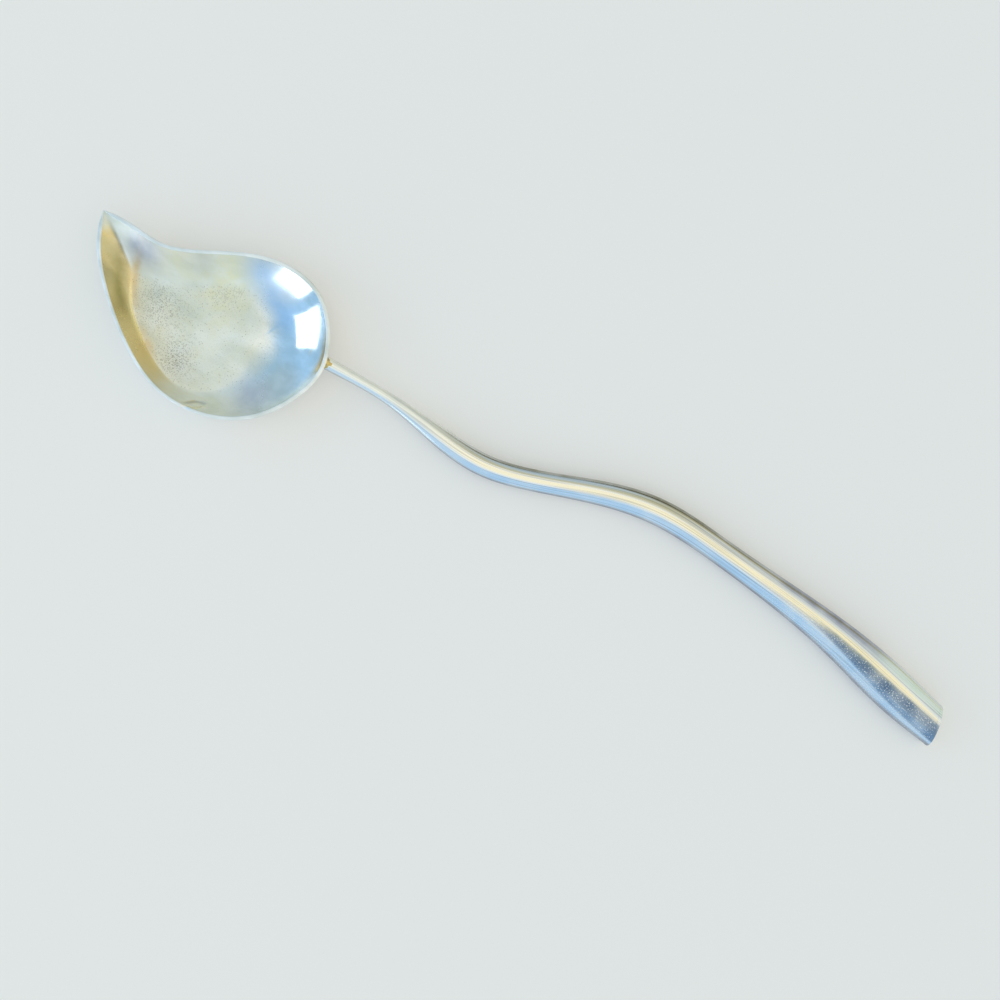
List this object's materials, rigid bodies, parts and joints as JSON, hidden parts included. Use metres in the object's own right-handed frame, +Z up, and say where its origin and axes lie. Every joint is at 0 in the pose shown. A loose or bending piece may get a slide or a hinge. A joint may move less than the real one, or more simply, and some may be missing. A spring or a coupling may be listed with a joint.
{
  "type": "serving spoon",
  "caption": "Long serving spoon with a leaf-shaped bowl that ends in a pouring tip, and a hollow waved handle widening to a slanted end.",
  "frame": {"origin": "a point on the flat under the bowl, below the centre of the largest circle that fits in the mouth", "axes": "+X from the pouring tip to the handle's end, +Z up out of the bowl's mouth, +Y towards the bowl's rounder side"},
  "size_m": [0.3311, 0.0607, 0.0105],
  "materials": {
    "silver_plate": "gloss",
    "hard_solder": "satin"
  },
  "bodies": {
    "root": {"bowl": "silver_plate", "bowl_solder": "hard_solder", "shank": "silver_plate", "handle_front_half": "silver_plate", "handle_back_half": "silver_plate", "handle_end_plate": "silver_plate"}
  },
  "joints": []
}
